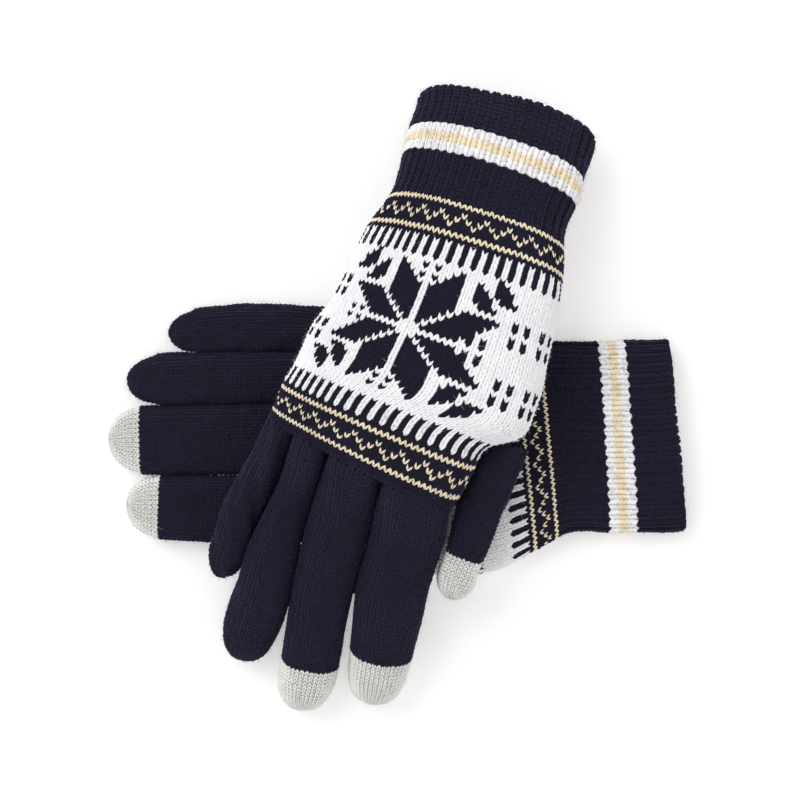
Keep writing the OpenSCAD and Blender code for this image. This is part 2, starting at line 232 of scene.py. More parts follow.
def heading(stations, t, step=0.05):
    """The way a section faces: along the line, or turned as a hand's own stations say."""
    way = along_line(stations, t + step)[:3] - along_line(stations, t - step)[:3]
    if is_hand(stations):
        turn = math.radians(along_line(stations, t)[6])
        way[:2] = math.hypot(way[0], way[1]) * np.array([math.sin(turn), math.cos(turn)])
    return way / np.linalg.norm(way)


def swell(c, power):
    """A sine or cosine raised to a power, with its sign kept."""
    return np.sign(c) * np.abs(c) ** power


def ring(centre, head, half_wide, half_high, lean, power):
    """Points round one section, from the top towards the little finger."""
    side = np.array([head[1], -head[0], 0]) / math.hypot(head[0], head[1])
    up = np.cross(side, head)
    a, b = math.cos(math.radians(lean)), math.sin(math.radians(lean))
    x = half_wide * swell(np.cos(TURNS), power)
    y = half_high * swell(np.sin(TURNS), power)
    return centre + np.outer(x, side * a + up * b) + np.outer(y, up * a - side * b)


def station_ring(stations, t, power, inset=0.0):
    """The section at t, drawn in by an inset in millimetres."""
    p = along_line(stations, t)
    lean = p[5] if is_hand(stations) else 0
    return ring(p[:3], heading(stations, t), p[3] - inset, p[4] - inset, lean, power)


print("top of the right hand", np.round(station_ring(RIGHT_BODY, 6, 0.84)[0], 1))


# %% The share of the hand's end that each finger grows out of
FINGER_GAP = 0.2
SLICE_POWER = 0.5
LEAST_HALF = 0.3
ROOT_FLATNESS = 0.85


def slice_ring(glove, x0, x1):
    """The outline of one finger's share of the hand's last section."""
    body = glove["body"]
    end = len(body) - 1
    p, head = along_line(body, end), heading(body, end)
    side = np.array([head[1], -head[0], 0]) / math.hypot(head[0], head[1])
    up = np.cross(side, head)
    a, b = math.cos(math.radians(p[5])), math.sin(math.radians(p[5]))
    side, up = side * a + up * b, up * a - side * b
    power = 2 / glove["hand_power"]
    x = (x0 + x1) / 2 + ((x1 - x0) / 2 - FINGER_GAP) * swell(np.cos(TURNS), SLICE_POWER)
    high = p[4] * np.maximum(0, 1 - (np.abs(x) / p[3]) ** power) ** (1 / power)
    y = np.maximum(LEAST_HALF, high) * swell(np.sin(TURNS), SLICE_POWER)
    return p[:3] + np.outer(x, side) + np.outer(y, up)


def finger_line(glove, number):
    """A finger's whole line: the middle of its slice, then its own stations."""
    x0, x1 = glove["forks"][number : number + 2]
    middle = slice_ring(glove, x0, x1).mean(axis=0)
    first = (*middle, (x1 - x0) / 2, glove["body"][-1][4] * ROOT_FLATNESS)
    return [first, *glove["fingers"][number]]


print("right index line starts at", np.round(finger_line(GLOVES["right"], 0)[0][:3], 1))

# %% [markdown]
# ## From rings to a surface that stitches can lie on
# The rings become a grid that is even round the tube. `along` is the distance from the start in
# millimetres, measured on the fabric. `lay_on` takes a place round the tube, a place along it and a
# height above it, and answers with a point in the frame. Everything knitted flat is rolled with it.


# %% Turn a list of rings into a measured tube
RIPPLE_WAVES, RIPPLE_ROWS, RIPPLE_LEVEL = 7, 60, 4
WAVES_ROUND, WAVES_LONG = (1, 7), (0.6, 3.2)


def even_ring(points):
    """The same outline with its points equally spaced."""
    closed = np.vstack([points, points[:1]])
    walked = np.concatenate([[0], np.cumsum(np.linalg.norm(np.diff(closed, axis=0), axis=1))])
    steps = np.linspace(0, walked[-1], ROUND, endpoint=False)
    return np.stack([np.interp(steps, walked, closed[:, k]) for k in range(3)], axis=1)


def unit_rows(vectors):
    """Each vector made one long."""
    return vectors / np.maximum(np.linalg.norm(vectors, axis=-1, keepdims=True), TINY * MM)


def surface_normals(points):
    """Which way is out at each point of a grid of rings."""
    round_way = np.roll(points, -1, axis=1) - np.roll(points, 1, axis=1)
    long_way = np.gradient(points, axis=0)
    return unit_rows(np.cross(round_way, long_way))


def ripple(shape, seed):
    """Slow unevenness from -1 to 1 over a tube, the same each time."""
    draw = np.random.default_rng(seed)
    rows, cols = np.arange(shape[0])[:, None] / RIPPLE_ROWS, np.arange(shape[1])[None] / shape[1]
    total = np.zeros(shape)
    for _ in range(RIPPLE_WAVES):
        round_waves, long_waves = draw.integers(*WAVES_ROUND), draw.uniform(*WAVES_LONG)
        total += np.sin(2 * np.pi * (round_waves * cols + long_waves * rows + draw.uniform()))
    return total / RIPPLE_LEVEL


def make_tube(glove, rings, seed, closed=False):
    """The surface through some rings, placed on the table. A closed one can't be passed at its end."""
    points = np.stack([even_ring(r) for r in rings])
    first, last = 2 * points[0] - points[1], 2 * points[-1] - points[-2]
    points = np.concatenate([first[None], points, last[None]])
    wrinkles = ripple(points.shape[:2], seed) * glove["wrinkle"]
    points = points + surface_normals(points) * wrinkles[..., None]
    turn = Matrix.Rotation(math.radians(glove["turn"]), 3, "Z")
    points = points @ np.array(turn).T + np.add(glove["place"], BOX_SHIFT)
    steps = np.linalg.norm(np.diff(points, axis=0), axis=2).mean(axis=1)
    along = np.concatenate([[0], np.cumsum(steps)])
    girth = np.linalg.norm(points - np.roll(points, 1, axis=1), axis=2).sum(axis=1)
    length = along[-2] - along[1]
    return {
        "points": points, "normals": surface_normals(points), "girth": float(np.median(girth)),
        "along": along - along[1], "length": length, "limit": length if closed else math.inf,
        "squeeze": 0.0,
    }


# %% Lay places on a tube
TABLE_CLEARANCE = 0.1
SQUEEZE_START = 0.05


def squeezed(tube, turn):
    """Where a wale really lies: those towards the little finger lie closer together on a rounded hand."""
    beside = np.clip((turn % 1.0 - SQUEEZE_START) / (0.5 - SQUEEZE_START), 0, 1)
    return turn - tube["squeeze"] * np.sin(np.pi * beside) ** 2


def lay_on(tube, turn, along, height):
    """Points in the frame, in metres, from places round and along a tube and heights above it."""
    rows = np.interp(np.minimum(along, tube["limit"]), tube["along"], np.arange(len(tube["along"])))
    i = np.minimum(rows.astype(int), len(tube["along"]) - 2)
    f = (rows - i)[:, None]
    cols = (squeezed(tube, turn) % 1.0) * ROUND
    j = cols.astype(int) % ROUND
    k = (j + 1) % ROUND
    g = (cols - np.floor(cols))[:, None]

    def mixed(grid):
        near = grid[i, j] * (1 - g) + grid[i, k] * g
        far = grid[i + 1, j] * (1 - g) + grid[i + 1, k] * g
        return near * (1 - f) + far * f

    placed = mixed(tube["points"]) + unit_rows(mixed(tube["normals"])) * height[:, None]
    placed[:, 2] = np.maximum(placed[:, 2], TABLE_CLEARANCE)
    return placed * MM


print("rings have", ROUND, "points")

# %% [markdown]
# ## The tubes of a glove
# The cuff is a doubled band: the ribbing comes up the inside, turns over at the edge and runs down
# the outside. So its tube starts inside the opening, goes round the edge in a half circle and carries
# on as the hand. A finger's tube changes smoothly from its slice of the hand to its own round
# section and closes in a dome.

# %% Tube of cuff and hand
CUFF_THICK = 3.4
INNER_REACH = 1.6
RING_STEP = 0.06
EDGE_RINGS = 9
BODY_SEED = 3


def body_tube(name):
    """The tube that starts inside the cuff, turns over its edge and carries on as the hand."""
    glove = GLOVES[name]
    body, power = glove["body"], glove["hand_power"]
    inner_steps = np.arange(INNER_REACH, 0, -RING_STEP)
    outer_steps = np.arange(RING_STEP, len(body) - 1 + TINY, RING_STEP)
    inner = [station_ring(body, t, power, CUFF_THICK) for t in inner_steps]
    outer = [station_ring(body, t, power) for t in outer_steps]
    p, head = along_line(body, 0), heading(body, 0)
    turned = []
    for q in np.linspace(0, math.pi, EDGE_RINGS):
        inset = CUFF_THICK / 2 * (1 + math.cos(q))
        place = p[:3] - head * CUFF_THICK / 2 * math.sin(q)
        turned.append(ring(place, head, p[3] - inset, p[4] - inset, p[5], power))
    tube = make_tube(glove, inner + turned + outer, BODY_SEED)
    edge = tube["along"][len(inner) + 1 + EDGE_RINGS // 2]
    tube["along"] = tube["along"] - edge
    tube["length"] -= edge
    tube["inside"] = edge
    tube["squeeze"] = glove["squeeze"]
    row_of_cuff_end = len(inner) + len(turned) + round(CUFF_END / RING_STEP)
    tube["cuff"] = tube["along"][row_of_cuff_end]
    return tube


tubes = {name: {"body": body_tube(name)} for name in GLOVES}
for name, made in tubes.items():
    print(name, {k: round(float(made["body"][k]), 1) for k in ("girth", "length", "inside", "cuff")})


# %% Tubes of fingers and thumbs
DOME_START, DOME_STOP, DOME_RINGS = 6, 88, 15
FINGER_SEED, THUMB_SEED = 10, 20


def dome_rings(line, dome, power):
    """Rings of the rounded end, from the last station onward."""
    p, head = along_line(line, len(line) - 1), heading(line, len(line) - 1)
    return [
        ring(p[:3] + head * dome * math.sin(q), head, p[3] * math.cos(q), p[4] * math.cos(q), 0, power)
        for q in np.radians(np.linspace(DOME_START, DOME_STOP, DOME_RINGS))
    ]


def finger_tube(name, number):
    """The tube of a finger, which changes from its share of the hand to its own section."""
    glove = GLOVES[name]
    line, power = finger_line(glove, number), glove["finger_power"]
    x0, x1 = glove["forks"][number : number + 2]
    root = slice_ring(glove, x0, x1)
    rings = []
    for t in np.arange(0, len(line) - 1 + TINY, RING_STEP):
        own = station_ring(line, t, power, -glove["plump"])
        share = min(1, t) ** 2 * (3 - 2 * min(1, t))
        moved = root + along_line(line, t)[:3] - along_line(line, 0)[:3]
        rings.append(moved * (1 - share) + own * share)
    rings += dome_rings(line, glove["dome"][number], power)
    tube = make_tube(glove, rings, FINGER_SEED + number, closed=True)
    if number < len(glove["grey"]):
        tube["grey"] = tube["along"][round(glove["grey"][number] / RING_STEP) + 1]
    return tube


def thumb_tube(name):
    """The tube of a thumb, which stands on its own beside the hand."""
    glove = GLOVES[name]
    line, power = glove["thumb"], glove["finger_power"]
    rings = [station_ring(line, t, power) for t in np.arange(0, len(line) - 1 + TINY, RING_STEP)]
    rings += dome_rings(line, glove["thumb_dome"], power)
    tube = make_tube(glove, rings, THUMB_SEED, closed=True)
    tube["grey"] = tube["along"][round(glove["thumb_grey"] / RING_STEP) + 1]
    return tube


for name in GLOVES:
    for number, finger in enumerate(FINGER_NAMES):
        tubes[name][finger] = finger_tube(name, number)
    tubes[name]["thumb"] = thumb_tube(name)
    print(name, {k: (round(t["length"], 1), round(t["girth"], 1)) for k, t in tubes[name].items()})

# %% [markdown]
# ## One stitch
# On the face of stockinette each stitch shows as a V of two plump legs of yarn, with its point
# towards the finger ends. A leg is thick in the middle and dives under its neighbours at both ends.
# It starts as a low sphere, is stretched, bent and slanted, and its mirror image makes the V. The
# stitch is one unit wide and one row tall, and only its height is in millimetres. A swept curve would
# make a truer loop, but it would need many more faces, and there are thousands of stitches.
#
# The plain fabric and the ribs have plump legs that close the gaps. The cream lines are a single thin
# row, so their stitch is finer. The grey yarn is smooth and thin, and dark gaps show between its legs.

# %% Model the leg and the stitch
LEG_SIDES, LEG_RINGS = 5, 4
LEG_APART = 0.27


def finished(bm, name):
    """The mesh of a bmesh, which is then freed."""
    mesh = bpy.data.meshes.new(name)
    bm.to_mesh(mesh)
    bm.free()
    mesh.shade_smooth()
    return mesh


def make_stitch(name, leg_wide, leg_long, leg_high, slant, dive):
    """A V of two legs in a cell of one by one, with its point at the top."""
    bm = bmesh.new()
    bmesh.ops.create_uvsphere(bm, u_segments=LEG_SIDES, v_segments=LEG_RINGS, radius=1)
    bmesh.ops.rotate(bm, verts=bm.verts, matrix=Matrix.Rotation(math.pi / 2, 3, "X"))
    bmesh.ops.scale(bm, verts=bm.verts, vec=(leg_wide / 2, leg_long / 2, leg_high / 2))
    for v in bm.verts:
        reach = v.co.y / (leg_long / 2)
        v.co.z -= dive * reach * reach
        v.co.x += LEG_APART - slant * reach
    other = bmesh.ops.duplicate(bm, geom=bm.verts[:] + bm.edges[:] + bm.faces[:])
    copied = [g for g in other["geom"] if isinstance(g, bmesh.types.BMVert)]
    bmesh.ops.scale(bm, verts=copied, vec=(-1, 1, 1))
    bmesh.ops.recalc_face_normals(bm, faces=bm.faces)
    bmesh.ops.translate(bm, verts=bm.verts, vec=(0.5, 0.5, 0))
    return finished(bm, name)


stockinette = make_stitch("plain_stitch", 0.56, 1.95, leg_high=1.25, slant=0.17, dive=0.42)
rib_stitch = make_stitch("rib_stitch", 0.5, 1.9, leg_high=1.5, slant=0.13, dive=0.4)
open_stitch = make_stitch("open_stitch", 0.37, 1.3, leg_high=1.3, slant=0.2, dive=0.3)
fine_stitch = make_stitch("fine_stitch", 0.46, 1.45, leg_high=1.0, slant=0.2, dive=0.3)
print("a stitch has", len(stockinette.vertices), "points and", len(stockinette.polygons), "faces")


# %% [markdown]
# ## A flat panel of stitches
# Two Array modifiers repeat the stitch across and along, which is far quicker than copying it by
# hand. The chart then says which yarn each stitch has, and the stitches of other yarns are deleted.

# %% Repeat a stitch into a panel and keep the stitches of one yarn
def repeated(mesh, counts):
    """The mesh repeated one unit apart, counts times along X and along Y."""
    source = bpy.data.objects.new("panel", mesh)
    bpy.context.scene.collection.objects.link(source)
    for axis, count in enumerate(counts):
        array = source.modifiers.new("repeat", "ARRAY")
        array.use_relative_offset = False
        array.use_constant_offset = True
        array.constant_offset_displace = [float(k == axis) for k in range(3)]
        array.count = count
    graph = bpy.context.evaluated_depsgraph_get()
    panel = bpy.data.meshes.new_from_object(source.evaluated_get(graph))
    bpy.data.objects.remove(source)
    return panel


def coordinates(mesh):
    """The places of all points, as rows of three."""
    flat = np.empty(len(mesh.vertices) * 3)
    mesh.vertices.foreach_get("co", flat)
    return flat.reshape(-1, 3)


def set_coordinates(mesh, points):
    """Moves all points of a mesh to new places."""
    mesh.vertices.foreach_set("co", np.asarray(points, np.float64).ravel())
    mesh.update()


def keep_cells(mesh, wanted):
    """Deletes the stitches whose cell isn't wanted. wanted is a table of rows by columns."""
    each = len(mesh.vertices) // wanted.size
    flat = wanted.ravel()
    bm = bmesh.new()
    bm.from_mesh(mesh)
    spare = [v for v in bm.verts if not flat[v.index // each]]
    bmesh.ops.delete(bm, geom=spare, context="VERTS")
    bpy.data.meshes.remove(mesh)
    return finished(bm, "kept_stitches")


print("a test panel has", len(repeated(stockinette, (3, 2)).polygons), "faces")

# %% [markdown]
# ## Rolling the panel round a tube
# Knitting looks real when it is uneven: no two stitches have quite the same height, lean or place.
# Each leg is nudged a little before the panel is rolled. In ribbing every wale also stands up as a
# round ridge with a furrow beside it. A Curve modifier could bend a flat panel too, but it knows
# nothing of sections that change along the way, so each point is looked up on the tube instead.

# %% Nudge and roll the stitches
LEG_POINTS = len(stockinette.vertices) // 2
NUDGE = (0.025, 0.05, 0.06)
TILT = 0.03
TURN_OVER = 2.0


def ribbed(across, along, ridge):
    """How far each wale stands up. Inside the cuff the ridges lie behind the furrows outside."""
    return ridge * np.clip(along + TURN_OVER, -1, 1) * np.cos(2 * np.pi * (across - 0.5))


def knitted(tube, stitch, wanted, start, row_mm, seed, turn=0.0, ridge=0.0, sink=0.55):
    """A mesh of the wanted stitches on a tube. start is where row 0 begins and turn is in stitches."""
    rows, columns = wanted.shape
    mesh = keep_cells(repeated(stitch, (columns, rows)), wanted)
    p = coordinates(mesh)
    legs = len(p) // LEG_POINTS
    draw = np.random.default_rng(seed)
    nudge = np.repeat(draw.normal(0, NUDGE, (legs, 3)), LEG_POINTS, axis=0)
    tilt = np.repeat(draw.normal(0, TILT, legs), LEG_POINTS)
    p[:, 0] += nudge[:, 0] + tilt * (p[:, 1] % 1 - 0.5)
    p[:, 1] += nudge[:, 1]
    along = start + p[:, 1] * row_mm
    height = p[:, 2] + nudge[:, 2] - sink + ribbed(p[:, 0], along, ridge)
    set_coordinates(mesh, lay_on(tube, (p[:, 0] + turn) / columns, along, height))
    return mesh


# %% [markdown]
# ## The backing
# Real stockinette has the loops' heads behind its face, and they keep light from shining through.
# Modelling them would double the stitches for something that hardly shows. A thin closed wall of
# the same yarn lies under each yarn's stitches instead.

# %% A closed backing under the stitches
BACK_DEPTH = 1.05
OPEN_DEPTH = 2.0
BACK_THICK = 0.5
MERGE = 1e-5


def backing(tube, wanted, start, row_mm, turn=0.0, ridge=0.0, fine=1, closed=False,
            depth=BACK_DEPTH):
    """A thin wall under the wanted cells, with a rim all round. closed draws its far end together."""
    rows, columns = wanted.shape
    bm = bmesh.new()
    bmesh.ops.create_grid(bm, x_segments=columns * fine, y_segments=rows, size=0.5)
    bmesh.ops.translate(bm, verts=bm.verts, vec=(0.5, 0.5, 0))
    bmesh.ops.scale(bm, verts=bm.verts, vec=(columns, rows, 1))
    middles = [(face, face.calc_center_median()) for face in bm.faces]
    spare = [face for face, middle in middles if not wanted[int(middle.y), int(middle.x)]]
    bmesh.ops.delete(bm, geom=spare, context="FACES")
    across, up = (bm.verts.layers.float.new(name) for name in ("across", "up"))
    for v in bm.verts:
        v[across], v[up] = v.co.x, v.co.y

    def lay(verts, below):
        x, y = np.array([v[across] for v in verts]), np.array([v[up] for v in verts])
        height = ribbed(x, start + y * row_mm, ridge) - below
        placed = lay_on(tube, (x + turn) / columns, start + y * row_mm, height)
        if closed:
            placed[y > rows - 0.5] = placed[y > rows - 0.5].mean(axis=0)
        for v, place in zip(verts, placed):
            v.co = place

    lay(bm.verts[:], depth)
    bmesh.ops.remove_doubles(bm, verts=bm.verts, dist=MERGE)
    outside = set(bm.verts)
    bmesh.ops.extrude_face_region(bm, geom=bm.faces[:], use_keep_orig=True)
    lay([v for v in bm.verts if v not in outside], depth + BACK_THICK)
    bmesh.ops.remove_doubles(bm, verts=bm.verts, dist=MERGE)
    bmesh.ops.recalc_face_normals(bm, faces=bm.faces)
    return finished(bm, "backing")


# %% [markdown]
# ## Loose fibres
# The yarn is brushed, so a haze of fine hairs stands off it. One hair is a thin three-sided cone with a
# bend in it. It is repeated, and each copy gets its own place, length, lean and direction. Blender's
# own hair curves would look finer, but they aren't a mesh and wouldn't be part of the model.

# %% Model one hair
HAIR_HALF = 0.035
HAIR_TAPER = 0.45


def make_hair():
    """A three-sided cone one unit long, cut across its middle so that it can bend."""
    bm = bmesh.new()
    bmesh.ops.create_cone(bm, segments=3, radius1=1, radius2=HAIR_TAPER, depth=1, cap_ends=True)
    bmesh.ops.translate(bm, verts=bm.verts, vec=(0, 0, 0.5))
    whole = bm.verts[:] + bm.edges[:] + bm.faces[:]
    bmesh.ops.bisect_plane(bm, geom=whole, plane_co=(0, 0, 0.5), plane_no=(0, 0, 1))
    return finished(bm, "hair")


hair = make_hair()
print("a hair has", len(hair.polygons), "faces")

# %% Scatter hairs over a tube
SHORTEST, LONGEST = 1.2, 3.6
HAIR_LIFT, HAIR_BEND, BEND_HEIGHT = (0.08, 0.75), (-1.1, 0.6), 1.6
HAIR_ROOT, HAIR_FLOOR, HAIR_LEAN = 0.15, -0.2, 0.7


def hairs(tube, count, start, stop, seed, grows=None, longest=LONGEST):
    """Bent hairs on a tube between two distances along it, where grows(turn, along) allows them."""
    draw = np.random.default_rng(seed)
    turn, along = draw.uniform(0, 1, count), draw.uniform(start, stop, count)
    if grows:
        rooted = grows(turn, along)
        turn, along = turn[rooted], along[rooted]
        count = len(turn)
    mesh = repeated(hair, (count, 1))
    each = len(hair.vertices)
    p = coordinates(mesh)
    p[:, 0] -= np.repeat(np.arange(count), each)
    long = draw.uniform(SHORTEST, longest, count)
    way = draw.uniform(0, 2 * np.pi, count)
    lift, bend = draw.uniform(*HAIR_LIFT, count), draw.uniform(*HAIR_BEND, count)
    each_hair = (turn, along, long, way, lift, bend)
    turn, along, long, way, lift, bend = (np.repeat(v, each) for v in each_hair)
    reach = p[:, 2] * long
    flat = reach * np.cos(lift) + p[:, 0] * HAIR_HALF
    sideways = p[:, 1] * HAIR_HALF
    bow = bend * p[:, 2] * (1 - p[:, 2]) * BEND_HEIGHT
    height = HAIR_ROOT + reach * np.sin(lift) + bow + p[:, 0] * HAIR_HALF * HAIR_LEAN
    x = flat * np.cos(way) - sideways * np.sin(way)
    y = flat * np.sin(way) + sideways * np.cos(way)
    height = np.maximum(height, HAIR_FLOOR)
    set_coordinates(mesh, lay_on(tube, turn + x / tube["girth"], along + y, height))
    return mesh


print("hairs are", SHORTEST, "to", LONGEST, "mm long")

# %% [markdown]
# ## Yarn
# Brushed wool-like yarn scatters light from many fibres. Its colour is uneven from fibre to
# fibre and its edges glow a little. One node group makes the uneven colour and the fibre relief
# for every yarn, and the sheen stays on each material's own shader. An image of wool would need
# unwrapping and would repeat, and noise on Object coordinates does neither.

# %% Node group for brushed yarn
FIBRE_DETAIL, FIBRE_ROUGHNESS, PATCH_DETAIL = 3, 0.65, 2
PATCH_SHARE = 0.45
SPREAD_MIN, SPREAD_MAX = 0.5, 0.95
GROUP_INPUTS = (
    ("Place", "NodeSocketVector"), ("Dark", "NodeSocketColor"), ("Light", "NodeSocketColor"),
    ("Fibre", "NodeSocketFloat"), ("Patch", "NodeSocketFloat"),
)


def build_yarn_group():
    """Colour between Dark and Light, and a height for the relief, from fine and broad noise."""
    group = bpy.data.node_groups.new("brushed_yarn", "ShaderNodeTree")
    for socket, kind in GROUP_INPUTS:
        group.interface.new_socket(socket, in_out="INPUT", socket_type=kind)
    group.interface.new_socket("Colour", in_out="OUTPUT", socket_type="NodeSocketColor")
    group.interface.new_socket("Height", in_out="OUTPUT", socket_type="NodeSocketFloat")
    nodes, links = group.nodes, group.links
    inside, outside = nodes.new("NodeGroupInput"), nodes.new("NodeGroupOutput")
    fibre, patch = nodes.new("ShaderNodeTexNoise"), nodes.new("ShaderNodeTexNoise")
    fibre.inputs["Detail"].default_value = FIBRE_DETAIL
    fibre.inputs["Roughness"].default_value = FIBRE_ROUGHNESS
    patch.inputs["Detail"].default_value = PATCH_DETAIL
    links.new(inside.outputs["Place"], fibre.inputs["Vector"])
    links.new(inside.outputs["Place"], patch.inputs["Vector"])
    links.new(inside.outputs["Fibre"], fibre.inputs["Scale"])
    links.new(inside.outputs["Patch"], patch.inputs["Scale"])
    total = nodes.new("ShaderNodeMath")
    total.operation = "MULTIPLY_ADD"
    total.inputs[1].default_value = PATCH_SHARE
    links.new(patch.outputs["Fac"], total.inputs[0])
    links.new(fibre.outputs["Fac"], total.inputs[2])
    spread = nodes.new("ShaderNodeMapRange")
    spread.inputs["From Min"].default_value = SPREAD_MIN
    spread.inputs["From Max"].default_value = SPREAD_MAX
    links.new(total.outputs["Value"], spread.inputs["Value"])
    mix = nodes.new("ShaderNodeMix")
    mix.data_type = "RGBA"
    links.new(spread.outputs["Result"], mix.inputs["Factor"])
    links.new(inside.outputs["Dark"], mix.inputs[6])
    links.new(inside.outputs["Light"], mix.inputs[7])
    links.new(mix.outputs[2], outside.inputs["Colour"])
    links.new(fibre.outputs["Fac"], outside.inputs["Height"])
    return group


yarn_group = build_yarn_group()
print("group", yarn_group.name, "with", len(yarn_group.nodes), "nodes")


# %% The material of a yarn
YARN_SPECULAR, SHEEN_ROUGHNESS = 0.25, 0.45
FIBRE_SCALE, PATCH_SCALE = 2600, 160
RELIEF_DEPTH = 0.00025


def make_yarn(name, dark, light, rough, sheen, sheen_tint, relief):
    """A material whose colour and relief come from the group, and whose sheen is its own."""
    material = bpy.data.materials.new(name)
    material.use_nodes = True
    nodes, links = material.node_tree.nodes, material.node_tree.links
    shader = nodes["Principled BSDF"]
    shader.inputs["Roughness"].default_value = rough
    shader.inputs["Specular IOR Level"].default_value = YARN_SPECULAR
    shader.inputs["Sheen Weight"].default_value = sheen
    shader.inputs["Sheen Roughness"].default_value = SHEEN_ROUGHNESS
    shader.inputs["Sheen Tint"].default_value = (*sheen_tint, 1)
    place, yarn = nodes.new("ShaderNodeTexCoord"), nodes.new("ShaderNodeGroup")
    bump = nodes.new("ShaderNodeBump")
    yarn.node_tree = yarn_group
    yarn.inputs["Dark"].default_value = (*dark, 1)
    yarn.inputs["Light"].default_value = (*light, 1)
    yarn.inputs["Fibre"].default_value = FIBRE_SCALE
    yarn.inputs["Patch"].default_value = PATCH_SCALE
    bump.inputs["Strength"].default_value = relief
    bump.inputs["Distance"].default_value = RELIEF_DEPTH
    links.new(place.outputs["Object"], yarn.inputs["Place"])
    links.new(yarn.outputs["Colour"], shader.inputs["Base Color"])
    links.new(yarn.outputs["Height"], bump.inputs["Height"])
    links.new(bump.outputs["Normal"], shader.inputs["Normal"])
    return material


# %% [markdown]
# ## The four yarns
# The navy yarn is nearly black, and a blue sheen gives it its bloom. White and cream are the same
# brushed yarn undyed and lightly dyed. The grey yarn at the finger ends has metal fibre in it so
# that it works on a screen, and it is smoother, so it has less sheen and a lower roughness.

# %% One material for each yarn
YARNS = {
    "navy": make_yarn("navy_yarn", (0.003, 0.0028, 0.0075), (0.0085, 0.0075, 0.022), rough=0.9,
                      sheen=0.2, sheen_tint=(0.4, 0.35, 0.85), relief=0.9),
    "white": make_yarn("white_yarn", (0.8, 0.8, 0.83), (0.93, 0.93, 0.94), rough=0.85,
                       sheen=0.15, sheen_tint=(1, 1, 1), relief=0.6),
    "cream": make_yarn("cream_yarn", (0.78, 0.66, 0.46), (0.93, 0.83, 0.63), rough=0.85,
                       sheen=0.15, sheen_tint=(1, 0.95, 0.85), relief=0.6),
    "grey": make_yarn("grey_yarn", (0.78, 0.78, 0.75), (0.97, 0.97, 0.94), rough=0.6,
                      sheen=0.1, sheen_tint=(1, 1, 1), relief=0.8),
}
print("yarns", list(YARNS))

# %% [markdown]
# ## The chart
# Colourwork is knitted from a chart with one square for each stitch. Rows count from the cuff and
# columns from the middle of the star. From the cuff come a line, a zigzag, a line, a row of
# teeth, the white field with an eight-petalled star, and then the same bands in mirror order. The
# chart could be painted as a picture, but as rules it stays sharp and each motif can be moved.

# %% Rows and columns of the chart
COLUMNS, CHART_ROWS, STAR_ROW = 80, 57, 26
NAVY, WHITE, CREAM = range(3)
YARN_OF = ("navy", "white", "cream")
LINE_ROWS = (0, 6, 48, 54)
ZIGZAG_STARTS, ZIGZAG_ROWS = (2, 50), 3
TEETH, TOOTH_ROWS = (8, 43), 4
print("the chart is", COLUMNS, "stitches round and", CHART_ROWS, "rows long")

# %% The motifs of the white field, in columns and rows from the middle of the star
PETAL_WIDE, PETAL_LONG = 5, 8
LEVEL_WIDE, LEVEL_LONG = 6, 6
LEAVES = ((9, 10), (12, 12))
FLOWERS = ((0, 12, False), (0, -12, False), (10, 0, False), (-10, 0, True))
PALM_START, PALM_REACH = 14, 9
PALM_ROWS, PALM_PITCH = (-5, 6), 5


def in_star(column, row):
    """Eight petals, split by white lines along the axes and the diagonals."""
    c, r = abs(column), abs(row)
    upright = 1 <= c <= PETAL_WIDE and c + 1 <= r <= c + PETAL_LONG
    level = 1 <= r <= LEVEL_WIDE and r + 1 <= c <= r + LEVEL_LONG
    return upright or level


def in_leaf(column, row):
    """Two slanting leaves in each corner of the star, blunt at one end and pointed at the other."""
    c, r = abs(column), abs(row)
    for x, y in LEAVES:
        across = c - x
        if -1 <= across <= 2 and -min(2, 2 - across) <= r - y + across <= min(1, 2 - across):
            return True
    return False


def in_flower(column, row, tall):
    """Four small petals round a white cross."""
    return abs(column) == 1 and 1 <= abs(row) <= (2 if tall else 1)


def in_palm_row(column, row):
    """Two rows of tall flowers, which run from beside the star round the palm."""
    if abs(column) < PALM_START or abs(row + 1) > PALM_REACH:
        return False
    across = abs(column) % PALM_PITCH - 1
    return any(in_flower(across, row - middle, True) for middle in PALM_ROWS)


def field_yarn(column, row):
    """The white field: star, leaves and flowers on the back, rows of flowers on the palm."""
    c, r = column, row - STAR_ROW
    flower = any(in_flower(c - x, r - y, tall) for x, y, tall in FLOWERS)
    return NAVY if in_star(c, r) or in_leaf(c, r) or flower or in_palm_row(c, r) else WHITE


print("leaves at", LEAVES, "and flowers at", [place[:2] for place in FLOWERS])


# %% The whole chart
def chart_yarn(column, row):
    """The yarn of one stitch of the hand."""
    if row in LINE_ROWS:
        return CREAM
    for start in ZIGZAG_STARTS:
        if 0 <= row - start < ZIGZAG_ROWS:
            return CREAM if row - start == abs(column % 4 - 2) else NAVY
    for start in TEETH:
        if 0 <= row - start < TOOTH_ROWS:
            return NAVY if column % 2 == 0 else WHITE
    if TEETH[0] < row < TEETH[1]:
        return field_yarn(column, row)
    return NAVY


from_star = range(-COLUMNS // 2, COLUMNS // 2)
chart = np.array([[chart_yarn(c, r) for c in from_star] for r in range(CHART_ROWS)])
print("stitches of each yarn", {YARN_OF[k]: int((chart == k).sum()) for k in (NAVY, WHITE, CREAM)})


# %% [markdown]
# ## Making a piece
# Stitches, backing and hairs of one yarn are joined into one mesh, which gets its yarn and stands for its
# CAD shells. One piece for each yarn keeps one material to a piece.

# %% Join meshes into one piece
def make_piece(name, meshes, yarn, nodes):
    """One object of one yarn from its meshes, which stands for the CAD nodes."""
    bm = bmesh.new()
    for mesh in meshes:
        bm.from_mesh(mesh)
        bpy.data.meshes.remove(mesh)
    piece = bpy.data.objects.new(name, finished(bm, name))
    piece.data.materials.append(YARNS[yarn])
    bpy.context.scene.collection.objects.link(piece)
    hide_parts(*nodes)
    print(name, "faces", len(piece.data.polygons))
    return piece


